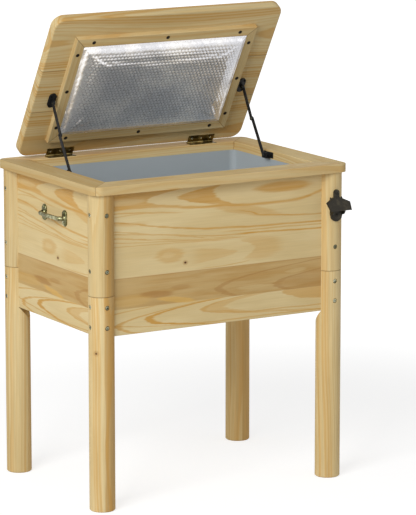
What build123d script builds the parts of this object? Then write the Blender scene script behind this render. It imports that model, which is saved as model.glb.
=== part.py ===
from build123d import *
import os
from math import acos, atan2, cos, radians, sin, sqrt

# A wooden patio cooler: an insulated box with a grey tub, four round legs, a mitred rim, and a hinged lid
# that two folding stays hold open. Millimetres, +Z up, front towards -Y, origin on the floor midway
# between the four legs. The lid stands open.

# Rim: four mitred boards on top of the box
RIM_LENGTH = 720.0
RIM_DEPTH = 512.0
RIM_TOP = 800.0
RIM_THICKNESS = 21.0
RIM_BOARD = 66.0
RIM_CORNER = 25.0
RIM_EDGE = 2.2
RIM_OVERHANG = 5.0

# Box: four wall panels and a floor board
PANEL = 18.0
PANEL_HEIGHT = 350.0
PANEL_EDGE = 2.0
FLOOR_BOARD = 12.0
FLOOR_RECESS = 4.0

# Legs: round posts notched over the box corners, in an upper and a lower length
LEG_DIAMETER = 63.0
LEG_WALL = 20.0
LEG_LAP = 102.0
LEG_RUN_OUT = 38.0
LEG_EDGE = 1.2
FOOT_CHAMFER = 2.5
POST_SCREW_TOP = 50.0
POST_SCREW_LOW = 61.0
LEG_SCREW_TOP = 26.0
LEG_SCREW_LOW = 26.0
POST_SCREW_RADIUS = 5.6
POST_SCREW_HEAD = 2.6
POST_SCREW_LENGTH = 24.0
COUNTERBORE_RADIUS = 6.2
COUNTERBORE_DEPTH = 3.2

# Tub, its insulation and its drain
LINER = 2.0
LINER_CORNER = 16.0
LINER_BOTTOM_RADIUS = 10.0
FLOOR_FOAM = 24.0
DRAIN_INSET = 97.0
DRAIN_RADIUS = 12.0
DRAIN_BORE = 9.0
DRAIN_FLANGE_RADIUS = 26.0
DRAIN_FLANGE = 3.0
DRAIN_REACH = 28.0
DRAIN_NUT_ACROSS = 36.0
DRAIN_NUT = 8.0
DRAIN_CAP_RADIUS = 17.0
DRAIN_CAP_HEIGHT = 18.0
DRAIN_CAP_FLOOR = 4.0
DRAIN_CAP_SIDES = 10

# Lid: a board with a mitred frame and a quilted foil pad on its inner face
LID_SIDE_INSET = 36.0
LID_FRONT_INSET = 42.3
LID_THICKNESS = 24.0
LID_CORNER = 29.0
LID_EDGE = 5.0
LID_OPEN = 59.2
STRIP_SIDE_GAP = 37.0
STRIP_FRONT_GAP = 28.5
STRIP_SETBACK = 3.4
STRIP = 25.0
STRIP_THICKNESS = 13.0
STRIP_EDGE = 1.5
STRIP_SCREW_INSET = 48.5
STRIP_SCREW_RADIUS = 4.6
STRIP_SCREW_HEAD = 2.6
STRIP_SCREW_LENGTH = 26.0
LID_FOAM = 8.0
PAD_THICKNESS = 20.0
PAD_EDGE = 5.0
PAD_SLOPE = 34.0
PAD_SHOULDER = 11.0
PAD_SHOULDER_RISE = 9.5
PAD_CORNER = 10.0

# Butt hinges
HINGE_SETBACK = 41.5
HINGE_INSET = 119.0
HINGE_LENGTH = 76.0
HINGE_LEAF = 1.4
HINGE_LEAF_DEPTH = 22.0
HINGE_KNUCKLES = 3
KNUCKLE_RADIUS = 2.8
HINGE_PIN_RADIUS = 1.4
HINGE_SCREW_SPACING = 27.0
HINGE_SCREW_RADIUS = 3.0
HINGE_SCREW_HEAD = 1.3
HINGE_SCREW_LENGTH = 16.0

# Folding stays: two flat bars each, between a shoe on the lid and a channel on the rim
STAY_INSET = 20.5
STAY_LID_DISTANCE = 180.0
STAY_LID_DROP = 11.0
STAY_RIM_DISTANCE = 196.5
STAY_UPPER = 86.0
STAY_BEND = 4.0
STAY_BAR = 2.5
STAY_BAR_WIDTH = 10.0
STAY_RIVET_RADIUS = 2.5
STAY_RIVET_HEAD_RADIUS = 4.2
STAY_RIVET_HEAD = 1.5
SHOE_LENGTH = 42.0
SHOE_WIDTH = 20.0
SHOE_BODY = 4.0
SHOE_PLATE = 2.0
SHOE_SHIFT = 1.0
SHOE_SCREW_SPACING = 28.0
SHOE_SCREW_OFFSET = 6.0
SHOE_SCREW_RADIUS = 3.0
SHOE_SCREW_HEAD = 1.5
SHOE_SCREW_LENGTH = 14.0
EAR_MARGIN = 1.0
CHANNEL_HEIGHT = 15.0
CHANNEL_EAR = 21.0

# Pull handles on the two end panels
HANDLE_DROP = 84.0
HANDLE_SPAN = 105.0
HANDLE_FORWARD = 8.0
HANDLE_REACH = 17.0
HANDLE_BOW = 3.0
HANDLE_BAR_RADIUS = 5.4
HANDLE_BEND = 13.0
HANDLE_FOOT_HEIGHT = 40.0
HANDLE_FOOT_WIDTH = 21.0
HANDLE_FOOT = 4.0
HANDLE_FOOT_EDGE = 1.6
HANDLE_FLARE_RADIUS = 7.4
HANDLE_FLARE = 3.5
HANDLE_SCREW_SPACING = 26.0
HANDLE_SCREW_RADIUS = 4.0
HANDLE_SCREW_HEAD = 1.8
HANDLE_SCREW_LENGTH = 14.0

# Cast bottle opener on the front right post
OPENER_CORNER = "front_right"
OPENER_DROP = 42.0
OPENER_HEIGHT = 80.0
OPENER_PLATE = 4.5
OPENER_TAB_WIDTH = 16.0
OPENER_HOOD_TOP = 19.0
OPENER_HOOD_SHOULDER = 31.0
OPENER_HOOD_FOOT = 50.0
OPENER_HOOD_WIDTH = 67.0
OPENER_HOOD_FOOT_WIDTH = 60.0
OPENER_HOOD_REACH = 28.0
OPENER_HOOD_WALL = 6.0
OPENER_RIB = 3.2
OPENER_MOUTH = 29.0
OPENER_DISC_RADIUS = 16.5
OPENER_DISC_FACE = 12.5
OPENER_DISC_RISE = 1.5
OPENER_SCREW_RADIUS = 4.0
OPENER_SCREW_HEAD = 2.0
OPENER_SCREW_LENGTH = 22.0

# Clearances
RUNNING = 0.05
MOVING = 0.4
SEAT = 0.1
THREAD = 0.1

# Wood screws: the shank as a share of the head's radius, the bevel as a share of the head's height
SCREW_SHANK = 0.5
SCREW_BEVEL = 0.6
SCREW_HEAD_SIDES = 12
SCREW_SHANK_SIDES = 6

# Places worked out from the sizes above
RIM_UNDER = RIM_TOP - RIM_THICKNESS
PANEL_BOTTOM = RIM_UNDER - PANEL_HEIGHT
LEG_RADIUS = LEG_DIAMETER / 2
LEG_X = RIM_LENGTH / 2 - RIM_OVERHANG - LEG_RADIUS
LEG_Y = RIM_DEPTH / 2 - RIM_OVERHANG - LEG_RADIUS
LEG_NOTCH = LEG_RADIUS - LEG_WALL
LEG_SPLIT = PANEL_BOTTOM + LEG_LAP
BOX_X = LEG_X + LEG_NOTCH
BOX_Y = LEG_Y + LEG_NOTCH
INNER_X = BOX_X - PANEL
INNER_Y = BOX_Y - PANEL
MOUTH_X = RIM_LENGTH / 2 - RIM_BOARD
MOUTH_Y = RIM_DEPTH / 2 - RIM_BOARD
FLOOR_LOW = PANEL_BOTTOM + FLOOR_RECESS
FLOOR_TOP = FLOOR_LOW + FLOOR_BOARD
LINER_LOW = FLOOR_TOP + FLOOR_FOAM
LINER_FLOOR = LINER_LOW + LINER
DRAIN_X = DRAIN_INSET - INNER_X
FOAM_TOP = RIM_UNDER - LINER
LEAF_START = KNUCKLE_RADIUS + MOVING
HINGE_Y = RIM_DEPTH / 2 - HINGE_SETBACK
HINGE_Z = RIM_TOP + LEAF_START
LID_LENGTH = RIM_LENGTH - 2 * LID_SIDE_INSET
LID_DEPTH = RIM_DEPTH / 2 - LID_FRONT_INSET + HINGE_Y - LEAF_START
LID_MID = LEAF_START + LID_DEPTH / 2
HINGE_X = LID_LENGTH / 2 - HINGE_INSET
STRIP_LENGTH = 2 * (MOUTH_X - STRIP_SIDE_GAP)
STRIP_DEPTH = 2 * (MOUTH_Y - STRIP_FRONT_GAP)
STAY_X = MOUTH_X - STAY_INSET
LID_INWARD = (0, -sin(radians(LID_OPEN)), -cos(radians(LID_OPEN)))
LID_PLANE = Plane(origin=(0, HINGE_Y, HINGE_Z), x_dir=(1, 0, 0), z_dir=LID_INWARD)
RIM_PLANE = Plane(origin=(0, HINGE_Y, HINGE_Z), x_dir=(1, 0, 0), z_dir=(0, 0, -1))
PAD_LENGTH = STRIP_LENGTH - 2 * STRIP - 2 * SEAT
PAD_DEPTH = STRIP_DEPTH - 2 * STRIP - 2 * SEAT
CORNERS = {
    "front_left": (-1, -1),
    "front_right": (1, -1),
    "back_left": (-1, 1),
    "back_right": (1, 1),
}
SIDES = {"left": -1, "right": 1}

os.makedirs("parts", exist_ok=True)


def save(piece, name):
    """Labels a finished piece and writes it to its own file."""
    piece.part.label = name
    export_step(piece.part, f"parts/{name}.step")


def spot(plane, x, y, z=0, flip=1):
    """Gives a plane at a place in another plane's own coordinates, facing the same way or the other."""
    return Plane(origin=plane.from_local_coords((x, y, z)), x_dir=plane.x_dir, z_dir=plane.z_dir * flip)


def pan_screw(radius, head, length):
    """Makes a pan-head wood screw that points down, with the underside of its head at the origin."""
    with BuildPart() as screw:
        with BuildSketch(Plane.XY):
            RegularPolygon(radius, SCREW_HEAD_SIDES)
        extrude(amount=head)
        chamfer(screw.faces().sort_by(Axis.Z)[-1].edges(), head * SCREW_BEVEL)
        with BuildSketch(Plane.XY):
            RegularPolygon(radius * SCREW_SHANK, SCREW_SHANK_SIDES)
        extrude(amount=-length)
    return screw.part


def flush_screw(radius, head, length):
    """Makes a countersunk wood screw that points down, with the top of its head at the origin."""
    with BuildPart() as screw:
        with BuildSketch(Plane.XY):
            RegularPolygon(radius, SCREW_HEAD_SIDES)
        extrude(amount=-head)
        chamfer(screw.faces().sort_by(Axis.Z)[0].edges(), head * SCREW_BEVEL)
        with BuildSketch(Plane.XY.offset(-head)):
            RegularPolygon(radius * SCREW_SHANK, SCREW_SHANK_SIDES)
        extrude(amount=head - length)
    return screw.part


def screw_group(name, screw, places):
    """Sets a copy of one screw on each plane, as one group of separate solids."""
    with BuildPart() as group:
        for place in places:
            with Locations(place):
                add(screw)
    save(group, name)


def mitred_ring(plane, length, depth, width, thickness, corner, edge):
    """Makes a rectangular ring of boards in one piece, with rounded edges, to be cut at its mitres."""
    with BuildPart() as ring:
        with BuildSketch(plane):
            if corner > 0:
                RectangleRounded(length, depth, corner)
            else:
                Rectangle(length, depth)
            Rectangle(length - 2 * width, depth - 2 * width, mode=Mode.SUBTRACT)
        extrude(amount=thickness)
        fillet(ring.faces().sort_by(Axis(plane.origin, plane.z_dir))[-1].edges(), edge)
    return ring.part


def mitred_boards(prefix, ring, plane, length, depth, width, thickness):
    """Cuts a ring into its four boards along the mitres."""
    x, y = length / 2, depth / 2
    wedges = {
        "front": [(-x, -y), (x, -y), (x - width, width - y), (width - x, width - y)],
        "back": [(-x, y), (width - x, y - width), (x - width, y - width), (x, y)],
        "left": [(-x, -y), (width - x, width - y), (width - x, y - width), (-x, y)],
        "right": [(x, -y), (x, y), (x - width, y - width), (x - width, width - y)],
    }
    for side, outline in wedges.items():
        with BuildPart() as piece:
            add(ring)
            with BuildSketch(plane):
                with BuildLine():
                    Polyline(*outline, close=True)
                make_face()
            extrude(amount=thickness, mode=Mode.INTERSECT)
        save(piece, f"{prefix}_{side}")


# Wall panels and floor board
for name, sy in (("front_panel", -1), ("back_panel", 1)):
    with BuildPart(Plane(origin=(0, sy * (BOX_Y - PANEL / 2), PANEL_BOTTOM))) as wall:
        Box(2 * BOX_X, PANEL, PANEL_HEIGHT, align=(Align.CENTER, Align.CENTER, Align.MIN))
        low_edges = wall.edges().filter_by(Axis.X).group_by(Axis.Z)[0]
        fillet(low_edges.sort_by(Axis.Y)[0 if sy < 0 else -1], PANEL_EDGE)
    save(wall, name)

for name, sx in (("left_panel", -1), ("right_panel", 1)):
    with BuildPart(Plane(origin=(sx * (BOX_X - PANEL / 2), 0, PANEL_BOTTOM))) as wall:
        Box(PANEL, 2 * INNER_Y, PANEL_HEIGHT, align=(Align.CENTER, Align.CENTER, Align.MIN))
        low_edges = wall.edges().filter_by(Axis.Y).group_by(Axis.Z)[0]
        fillet(low_edges.sort_by(Axis.X)[0 if sx < 0 else -1], PANEL_EDGE)
    save(wall, name)

with BuildPart(Plane(origin=(0, 0, FLOOR_LOW))) as floor_board:
    Box(2 * INNER_X, 2 * INNER_Y, FLOOR_BOARD, align=(Align.CENTER, Align.CENTER, Align.MIN))
    with BuildSketch(Plane.XY.offset(FLOOR_LOW)):
        with Locations((DRAIN_X, 0)):
            Circle(DRAIN_RADIUS + MOVING)
    extrude(amount=FLOOR_BOARD, mode=Mode.SUBTRACT)
save(floor_board, "bottom_panel")

# Rim boards
rim_base = Plane.XY.offset(RIM_UNDER)
rim_ring = mitred_ring(rim_base, RIM_LENGTH, RIM_DEPTH, RIM_BOARD, RIM_THICKNESS, RIM_CORNER, RIM_EDGE)
mitred_boards("rim", rim_ring, rim_base, RIM_LENGTH, RIM_DEPTH, RIM_BOARD, RIM_THICKNESS)


def screw_planes(sx, sy, heights):
    """Gives the planes of the screws that enter one leg from the front or back and from the side."""
    floor = LEG_RADIUS - COUNTERBORE_DEPTH
    planes = []
    for z in heights:
        planes.append(Plane(origin=(sx * LEG_X, sy * (LEG_Y + floor), z), z_dir=(0, sy, 0)))
        planes.append(Plane(origin=(sx * (LEG_X + floor), sy * LEG_Y, z), z_dir=(sx, 0, 0)))
    return planes


# Legs: each corner has an upper post beside the box and a lower leg that runs on to the floor
post_heights = (RIM_UNDER - POST_SCREW_TOP, LEG_SPLIT + POST_SCREW_LOW)
leg_heights = (LEG_SPLIT - LEG_SCREW_TOP, PANEL_BOTTOM + LEG_SCREW_LOW)
leg_screw_places = []
for corner, (sx, sy) in CORNERS.items():
    notch_mid = LEG_NOTCH - LEG_DIAMETER / 2
    post_places = screw_planes(sx, sy, post_heights)
    leg_places = screw_planes(sx, sy, leg_heights)
    # The opener's own screw takes the place of the upper front one
    if corner == OPENER_CORNER:
        post_places = post_places[1:]

    with BuildPart() as post:
        with BuildSketch(Plane(origin=(sx * LEG_X, sy * LEG_Y, LEG_SPLIT))):
            Circle(LEG_RADIUS)
            with Locations((sx * notch_mid, sy * notch_mid)):
                Rectangle(LEG_DIAMETER, LEG_DIAMETER, mode=Mode.SUBTRACT)
        extrude(amount=RIM_UNDER - LEG_SPLIT)
        chamfer(post.edges().filter_by(GeomType.CIRCLE).group_by(Axis.Z)[0], LEG_EDGE)
        for place in post_places:
            with BuildSketch(place):
                RegularPolygon(COUNTERBORE_RADIUS, SCREW_HEAD_SIDES)
            extrude(amount=COUNTERBORE_DEPTH, mode=Mode.SUBTRACT)
    save(post, f"upper_post_{corner}")

    with BuildPart() as leg:
        with BuildSketch(Plane(origin=(sx * LEG_X, sy * LEG_Y, 0))):
            Circle(LEG_RADIUS)
        extrude(amount=LEG_SPLIT)
        chamfer(leg.edges().group_by(Axis.Z)[0], FOOT_CHAMFER)
        with BuildSketch(Plane(origin=(sx * LEG_X, sy * LEG_Y, PANEL_BOTTOM))):
            with Locations((sx * notch_mid, sy * notch_mid)):
                Rectangle(LEG_DIAMETER, LEG_DIAMETER)
        extrude(amount=LEG_LAP, mode=Mode.SUBTRACT)
        # The notch runs out in two sloping faces that end where the leg is fully round
        with BuildSketch(Plane(origin=(sx * LEG_X, sy * LEG_Y, PANEL_BOTTOM))):
            with Locations((sx * notch_mid, sy * notch_mid)):
                Rectangle(LEG_DIAMETER, LEG_DIAMETER)
        run_out_mid = -LEG_RADIUS / sqrt(2) - LEG_DIAMETER / 2
        with BuildSketch(Plane(origin=(sx * LEG_X, sy * LEG_Y, PANEL_BOTTOM - LEG_RUN_OUT))):
            with Locations((sx * run_out_mid, sy * run_out_mid)):
                Rectangle(LEG_DIAMETER, LEG_DIAMETER)
        loft(ruled=True, mode=Mode.SUBTRACT)
        for place in leg_places:
            with BuildSketch(place):
                RegularPolygon(COUNTERBORE_RADIUS, SCREW_HEAD_SIDES)
            extrude(amount=COUNTERBORE_DEPTH, mode=Mode.SUBTRACT)
    save(leg, f"lower_leg_{corner}")

    leg_screw_places += post_places + leg_places

leg_screw = pan_screw(POST_SCREW_RADIUS, POST_SCREW_HEAD, POST_SCREW_LENGTH)
screw_group("post_screws", leg_screw, leg_screw_places)

# Tub with a flange that the rim clamps
with BuildPart() as tub_cavity:
    with BuildSketch(Plane.XY.offset(LINER_FLOOR)):
        RectangleRounded(2 * MOUTH_X, 2 * MOUTH_Y, LINER_CORNER)
    extrude(amount=RIM_UNDER - LINER_FLOOR)
    fillet(tub_cavity.faces().sort_by(Axis.Z)[0].edges(), LINER_BOTTOM_RADIUS)

with BuildPart() as liner:
    with BuildSketch(Plane.XY.offset(LINER_LOW)):
        RectangleRounded(2 * (MOUTH_X + LINER), 2 * (MOUTH_Y + LINER), LINER_CORNER + LINER)
    extrude(amount=RIM_UNDER - LINER_LOW)
    with BuildSketch(Plane.XY.offset(FOAM_TOP)):
        Rectangle(2 * (INNER_X - SEAT), 2 * (INNER_Y - SEAT))
    extrude(amount=LINER)
    add(tub_cavity.part, mode=Mode.SUBTRACT)
    with BuildSketch(Plane.XY.offset(LINER_LOW)):
        with Locations((DRAIN_X, 0)):
            Circle(DRAIN_RADIUS + MOVING)
    extrude(amount=LINER, mode=Mode.SUBTRACT)
save(liner, "tub_liner")

# Insulation between the tub and the panels
foam_height = FOAM_TOP - FLOOR_TOP
with BuildPart(Plane(origin=(0, 0, FLOOR_TOP))) as long_foam:
    foam_y = INNER_Y - MOUTH_Y - LINER
    with Locations((0, INNER_Y - foam_y / 2, 0), (0, foam_y / 2 - INNER_Y, 0)):
        Box(2 * INNER_X, foam_y, foam_height, align=(Align.CENTER, Align.CENTER, Align.MIN))
save(long_foam, "foam_front_back")

with BuildPart(Plane(origin=(0, 0, FLOOR_TOP))) as end_foam:
    foam_x = INNER_X - MOUTH_X - LINER
    with Locations((INNER_X - foam_x / 2, 0, 0), (foam_x / 2 - INNER_X, 0, 0)):
        Box(foam_x, 2 * (MOUTH_Y + LINER), foam_height, align=(Align.CENTER, Align.CENTER, Align.MIN))
save(end_foam, "foam_ends")

with BuildPart() as floor_foam:
    with BuildSketch(Plane.XY.offset(FLOOR_TOP)):
        Rectangle(2 * (MOUTH_X + LINER), 2 * (MOUTH_Y + LINER))
    extrude(amount=FLOOR_FOAM)
    with BuildSketch(Plane.XY.offset(FLOOR_TOP)):
        with Locations((DRAIN_X, 0)):
            Circle(DRAIN_RADIUS + MOVING)
    extrude(amount=FLOOR_FOAM, mode=Mode.SUBTRACT)
save(floor_foam, "foam_floor")

# Drain: flanged pipe, lock nut and screw cap
drain_low = FLOOR_LOW - DRAIN_REACH
drain_at = Plane(origin=(DRAIN_X, 0, 0))
with BuildPart() as drain:
    with BuildSketch(drain_at.offset(drain_low)):
        Circle(DRAIN_RADIUS)
    extrude(amount=LINER_FLOOR - drain_low)
    with BuildSketch(drain_at.offset(LINER_FLOOR)):
        Circle(DRAIN_FLANGE_RADIUS)
    extrude(amount=DRAIN_FLANGE)
    with BuildSketch(drain_at.offset(drain_low)):
        Circle(DRAIN_BORE)
    extrude(amount=LINER_FLOOR + DRAIN_FLANGE - drain_low, mode=Mode.SUBTRACT)
save(drain, "drain_pipe")

with BuildPart() as nut:
    with BuildSketch(drain_at.offset(FLOOR_LOW - DRAIN_NUT)):
        RegularPolygon(DRAIN_NUT_ACROSS / 2, 6, major_radius=False)
        Circle(DRAIN_RADIUS + THREAD, mode=Mode.SUBTRACT)
    extrude(amount=DRAIN_NUT)
save(nut, "drain_nut")

cap_low = drain_low - MOVING - DRAIN_CAP_FLOOR
with BuildPart() as cap:
    with BuildSketch(drain_at.offset(cap_low)):
        RegularPolygon(DRAIN_CAP_RADIUS, DRAIN_CAP_SIDES)
    extrude(amount=DRAIN_CAP_HEIGHT)
    with BuildSketch(drain_at.offset(cap_low + DRAIN_CAP_FLOOR)):
        Circle(DRAIN_RADIUS + THREAD)
    extrude(amount=DRAIN_CAP_HEIGHT, mode=Mode.SUBTRACT)
save(cap, "drain_cap")

# Lid board
with BuildPart() as lid:
    with BuildSketch(LID_PLANE):
        with Locations((0, LID_MID)):
            RectangleRounded(LID_LENGTH, LID_DEPTH, LID_CORNER)
    extrude(amount=-LID_THICKNESS)
    fillet(lid.faces().filter_by(Axis(LID_PLANE.origin, LID_PLANE.z_dir)).edges(), LID_EDGE)
save(lid, "lid_panel")

# Mitred frame on the lid's inner face
strip_plane = spot(LID_PLANE, 0, LID_MID - STRIP_SETBACK)
strip_ring = mitred_ring(strip_plane, STRIP_LENGTH, STRIP_DEPTH, STRIP, STRIP_THICKNESS, 0, STRIP_EDGE)
mitred_boards("lid_strip", strip_ring, strip_plane, STRIP_LENGTH, STRIP_DEPTH, STRIP, STRIP_THICKNESS)

strip_x, strip_y = (STRIP_LENGTH - STRIP) / 2, (STRIP_DEPTH - STRIP) / 2
screw_x, screw_y = STRIP_LENGTH / 2 - STRIP_SCREW_INSET, STRIP_DEPTH / 2 - STRIP_SCREW_INSET
strip_points = [(x, sy * strip_y) for x in (-screw_x, 0, screw_x) for sy in (-1, 1)]
strip_points += [(sx * strip_x, y) for y in (-screw_y, 0, screw_y) for sx in (-1, 1)]
strip_places = [spot(strip_plane, x, y, STRIP_THICKNESS + SEAT) for x, y in strip_points]
screw_group(
    "lid_strip_screws",
    flush_screw(STRIP_SCREW_RADIUS, STRIP_SCREW_HEAD, STRIP_SCREW_LENGTH),
    strip_places,
)

# Lid insulation: a foam slab under a crowned foil pad
with BuildPart() as lid_foam:
    with BuildSketch(strip_plane):
        Rectangle(PAD_LENGTH, PAD_DEPTH)
    extrude(amount=LID_FOAM)
save(lid_foam, "lid_foam")

with BuildPart() as pad:
    with BuildSketch(strip_plane.offset(LID_FOAM)):
        RectangleRounded(PAD_LENGTH, PAD_DEPTH, PAD_CORNER)
    extrude(amount=PAD_EDGE)
    # The crown rises from the edge in two slopes, the inner one gentler
    rise = PAD_THICKNESS - PAD_EDGE
    for inset, height in ((0, 0), (PAD_SHOULDER, PAD_SHOULDER_RISE), (PAD_SLOPE, rise)):
        with BuildSketch(strip_plane.offset(LID_FOAM + PAD_EDGE + height)):
            RectangleRounded(PAD_LENGTH - 2 * inset, PAD_DEPTH - 2 * inset, PAD_CORNER + inset)
    loft(ruled=True)
save(pad, "foil_pad")


def hinge_screw_places(plane, face, sign, x):
    """Gives the screw planes of one leaf, heads flush with its free face."""
    mid = (LEAF_START + HINGE_LEAF_DEPTH) / 2
    return [spot(plane, x + i * HINGE_SCREW_SPACING, mid, face, sign) for i in (-1, 0, 1)]


def hinge_leaf(name, plane, leaf_low, x, owned, screw, screw_places):
    """Makes one leaf of a butt hinge with its share of the knuckles, its bore and its countersinks."""
    pitch = HINGE_LENGTH / HINGE_KNUCKLES
    knuckle = pitch - MOVING
    with BuildPart() as leaf:
        with BuildSketch(plane.offset(leaf_low)):
            with Locations((x, (LEAF_START + HINGE_LEAF_DEPTH) / 2)):
                Rectangle(HINGE_LENGTH, HINGE_LEAF_DEPTH - LEAF_START)
            for i in owned:
                with Locations((x - HINGE_LENGTH / 2 + (i + 0.5) * pitch, LEAF_START / 2)):
                    Rectangle(knuckle, LEAF_START)
        extrude(amount=HINGE_LEAF)
        for i in owned:
            start = x - HINGE_LENGTH / 2 + i * pitch + MOVING / 2
            with BuildSketch(Plane(origin=(start, HINGE_Y, HINGE_Z), z_dir=(1, 0, 0))):
                Circle(KNUCKLE_RADIUS)
            extrude(amount=knuckle)
        with BuildSketch(Plane(origin=(x - HINGE_LENGTH / 2, HINGE_Y, HINGE_Z), z_dir=(1, 0, 0))):
            Circle(HINGE_PIN_RADIUS + RUNNING)
        extrude(amount=HINGE_LENGTH, mode=Mode.SUBTRACT)
        for place in screw_places:
            with Locations(place):
                add(screw, mode=Mode.SUBTRACT)
    save(leaf, name)


# Butt hinges: one leaf on the rim, one on the lid, and the pin between them
hinge_screw = flush_screw(HINGE_SCREW_RADIUS, HINGE_SCREW_HEAD, HINGE_SCREW_LENGTH)
rim_leaf_low = HINGE_Z - RIM_TOP - HINGE_LEAF
rim_places = []
lid_places = []
for side, sx in SIDES.items():
    x = sx * HINGE_X
    on_rim = hinge_screw_places(RIM_PLANE, rim_leaf_low, -1, x)
    on_lid = hinge_screw_places(LID_PLANE, HINGE_LEAF, 1, x)
    hinge_leaf(
        f"hinge_rim_leaf_{side}", RIM_PLANE, rim_leaf_low, x, range(0, HINGE_KNUCKLES, 2), hinge_screw, on_rim
    )
    hinge_leaf(f"hinge_lid_leaf_{side}", LID_PLANE, 0, x, range(1, HINGE_KNUCKLES, 2), hinge_screw, on_lid)
    rim_places += on_rim
    lid_places += on_lid
screw_group("rim_hinge_screws", hinge_screw, rim_places)
screw_group("lid_hinge_screws", hinge_screw, lid_places)

with BuildPart() as pins:
    for sx in SIDES.values():
        with BuildSketch(Plane(origin=(sx * HINGE_X - HINGE_LENGTH / 2, HINGE_Y, HINGE_Z), z_dir=(1, 0, 0))):
            Circle(HINGE_PIN_RADIUS)
        extrude(amount=HINGE_LENGTH)
save(pins, "hinge_pins")

# Folding stays: pivots in the plane of the links, then the links, shoes and channels
stay_top = LID_PLANE.from_local_coords((0, STAY_LID_DISTANCE, STAY_LID_DROP))
stay_foot = Vector(0, HINGE_Y - STAY_RIM_DISTANCE, RIM_TOP - RIM_THICKNESS / 2)
stay_span = (stay_foot - stay_top).length
bend = radians(180 - STAY_BEND)
stay_lower = STAY_UPPER * cos(bend) + sqrt(stay_span**2 - (STAY_UPPER * sin(bend)) ** 2)
at_top = acos((STAY_UPPER**2 + stay_span**2 - stay_lower**2) / (2 * STAY_UPPER * stay_span))
straight = atan2(stay_foot.Z - stay_top.Z, stay_foot.Y - stay_top.Y)
elbow_angle = straight + at_top
stay_elbow = stay_top + Vector(0, cos(elbow_angle), sin(elbow_angle)) * STAY_UPPER

EAR_X = STAY_X - MOVING - STAY_BAR
LOWER_X = STAY_X + STAY_BAR + MOVING
CHANNEL_X = LOWER_X + STAY_BAR + MOVING


def link_plane(sx, x, start, end):
    """Gives the plane of one flat bar: its own x runs from one pivot to the other, its z points outwards."""
    return Plane(origin=(sx * x, start.Y, start.Z), x_dir=(end - start).normalized(), z_dir=(sx, 0, 0))


def flat_link(sx, x, start, end, bore):
    """Makes a flat bar with round ends and a pivot hole at each."""
    length = (end - start).length
    with BuildPart() as link:
        with BuildSketch(link_plane(sx, x, start, end)):
            with Locations((length / 2, 0)):
                SlotCenterToCenter(length, STAY_BAR_WIDTH)
            with Locations((0, 0), (length, 0)):
                Circle(bore, mode=Mode.SUBTRACT)
        extrude(amount=STAY_BAR)
    return link


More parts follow.
